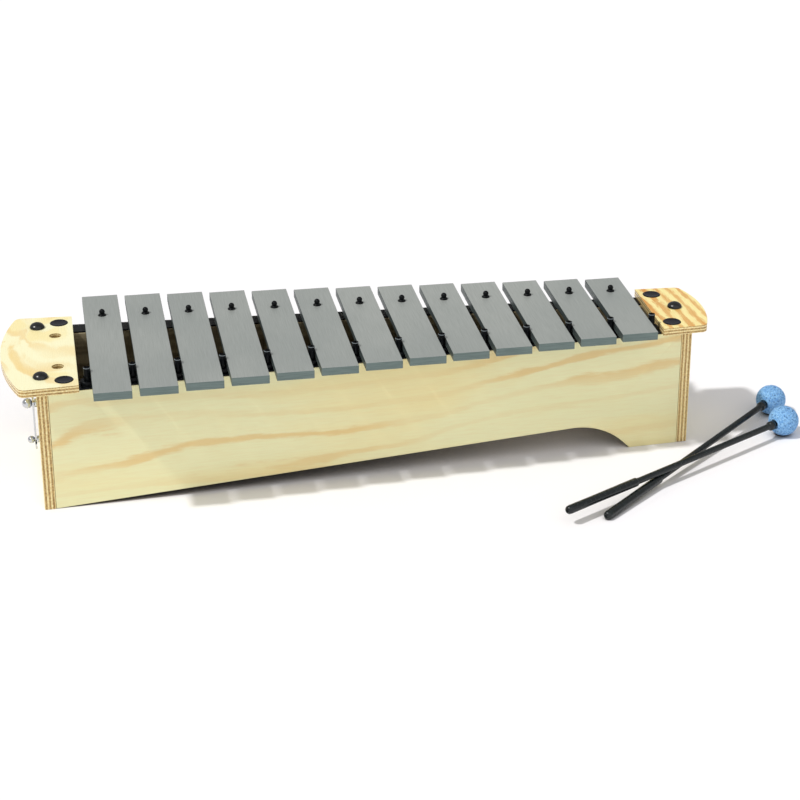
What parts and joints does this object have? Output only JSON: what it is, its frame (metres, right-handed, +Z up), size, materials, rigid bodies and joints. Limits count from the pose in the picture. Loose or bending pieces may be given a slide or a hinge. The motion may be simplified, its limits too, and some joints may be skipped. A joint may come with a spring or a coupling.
{
  "type": "metallophone",
  "caption": "Soprano metallophone: graduated metal bars on pins above a tapered wooden resonator box, with a pair of yarn-wound mallets lying beside it.",
  "frame": {"origin": "on the floor, in the middle of the bass end panel's bottom edge", "axes": "+X along the instrument from the bass end to the treble end, +Z up, the player sits at -Y"},
  "size_m": [0.6726, 0.2727, 0.1195],
  "materials": {
    "panel_plywood": "clear satin lacquer on pale plywood",
    "plate_plywood": "clear gloss lacquer on strongly grained plywood",
    "raw_pine": "planed pine, unlacquered",
    "bar_metal": "satin anodised, grey green",
    "black_rubber": "moulded, matt",
    "black_plastic": "moulded, glossy",
    "chrome": "polished",
    "mallet_black": "glossy shafts and smooth rubber-like grips",
    "blue_yarn": "wound sky-blue yarn"
  },
  "bodies": {
    "root": {"front_panel": "panel_plywood", "back_panel": "panel_plywood", "bass_end_panel": "panel_plywood", "treble_end_panel": "panel_plywood", "bottom_board": "panel_plywood", "near_rail": "raw_pine", "far_rail": "raw_pine", "near_strip": "black_rubber", "far_strip": "black_rubber", "bar_pin_01": "black_rubber", "bar_pin_02": "black_rubber", "bar_pin_03": "black_rubber", "bar_pin_04": "black_rubber", "bar_pin_05": "black_rubber", "bar_pin_06": "black_rubber", "bar_pin_07": "black_rubber", "bar_pin_08": "black_rubber", "bar_pin_09": "black_rubber", "bar_pin_10": "black_rubber", "bar_pin_11": "black_rubber", "bar_pin_12": "black_rubber", "bar_pin_13": "black_rubber", "bass_end_plate": "plate_plywood", "treble_end_plate": "plate_plywood", "cover_plug_1": "black_plastic", "cover_plug_2": "black_plastic", "cover_plug_3": "black_plastic", "cover_plug_4": "black_plastic", "dome_button_1": "black_plastic", "dome_button_2": "black_plastic", "dome_button_3": "black_plastic", "link_pivot": "chrome", "link_catch": "chrome"},
    "bar_01": {"bar_01": "bar_metal"},
    "bar_02": {"bar_02": "bar_metal"},
    "bar_03": {"bar_03": "bar_metal"},
    "bar_04": {"bar_04": "bar_metal"},
    "bar_05": {"bar_05": "bar_metal"},
    "bar_06": {"bar_06": "bar_metal"},
    "bar_07": {"bar_07": "bar_metal"},
    "bar_08": {"bar_08": "bar_metal"},
    "bar_09": {"bar_09": "bar_metal"},
    "bar_10": {"bar_10": "bar_metal"},
    "bar_11": {"bar_11": "bar_metal"},
    "bar_12": {"bar_12": "bar_metal"},
    "bar_13": {"bar_13": "bar_metal"},
    "coupling_link": {"coupling_link": "chrome"},
    "mallet_lower": {"mallet_shaft_lower": "mallet_black", "mallet_grip_lower": "mallet_black", "mallet_head_lower": "blue_yarn"},
    "mallet_upper": {"mallet_shaft_upper": "mallet_black", "mallet_grip_upper": "mallet_black", "mallet_head_upper": "blue_yarn"}
  },
  "joints": [
    {"name": "bar_01_lift", "type": "slide", "parent": "root", "child": "bar_01", "axis": [0, 0, 1], "range_m": [0, 0.025]},
    {"name": "bar_02_lift", "type": "slide", "parent": "root", "child": "bar_02", "axis": [0, 0, 1], "range_m": [0, 0.025]},
    {"name": "bar_03_lift", "type": "slide", "parent": "root", "child": "bar_03", "axis": [0, 0, 1], "range_m": [0, 0.025]},
    {"name": "bar_04_lift", "type": "slide", "parent": "root", "child": "bar_04", "axis": [0, 0, 1], "range_m": [0, 0.025]},
    {"name": "bar_05_lift", "type": "slide", "parent": "root", "child": "bar_05", "axis": [0, 0, 1], "range_m": [0, 0.025]},
    {"name": "bar_06_lift", "type": "slide", "parent": "root", "child": "bar_06", "axis": [0, 0, 1], "range_m": [0, 0.025]},
    {"name": "bar_07_lift", "type": "slide", "parent": "root", "child": "bar_07", "axis": [0, 0, 1], "range_m": [0, 0.025]},
    {"name": "bar_08_lift", "type": "slide", "parent": "root", "child": "bar_08", "axis": [0, 0, 1], "range_m": [0, 0.025]},
    {"name": "bar_09_lift", "type": "slide", "parent": "root", "child": "bar_09", "axis": [0, 0, 1], "range_m": [0, 0.025]},
    {"name": "bar_10_lift", "type": "slide", "parent": "root", "child": "bar_10", "axis": [0, 0, 1], "range_m": [0, 0.025]},
    {"name": "bar_11_lift", "type": "slide", "parent": "root", "child": "bar_11", "axis": [0, 0, 1], "range_m": [0, 0.025]},
    {"name": "bar_12_lift", "type": "slide", "parent": "root", "child": "bar_12", "axis": [0, 0, 1], "range_m": [0, 0.025]},
    {"name": "bar_13_lift", "type": "slide", "parent": "root", "child": "bar_13", "axis": [0, 0, 1], "range_m": [0, 0.025]},
    {"name": "link_swing", "type": "hinge", "parent": "root", "child": "coupling_link", "pos_m": [-0.00785, 0, 0.064], "axis": [1, 0, 0], "range_deg": [0, 110]},
    {"name": "mallet_lower_lift", "type": "slide", "parent": "root", "child": "mallet_lower", "axis": [0, 0, 1], "range_m": [0, 0.15]},
    {"name": "mallet_upper_lift", "type": "slide", "parent": "mallet_lower", "child": "mallet_upper", "axis": [0, 0, 1], "range_m": [0, 0.15]}
  ]
}
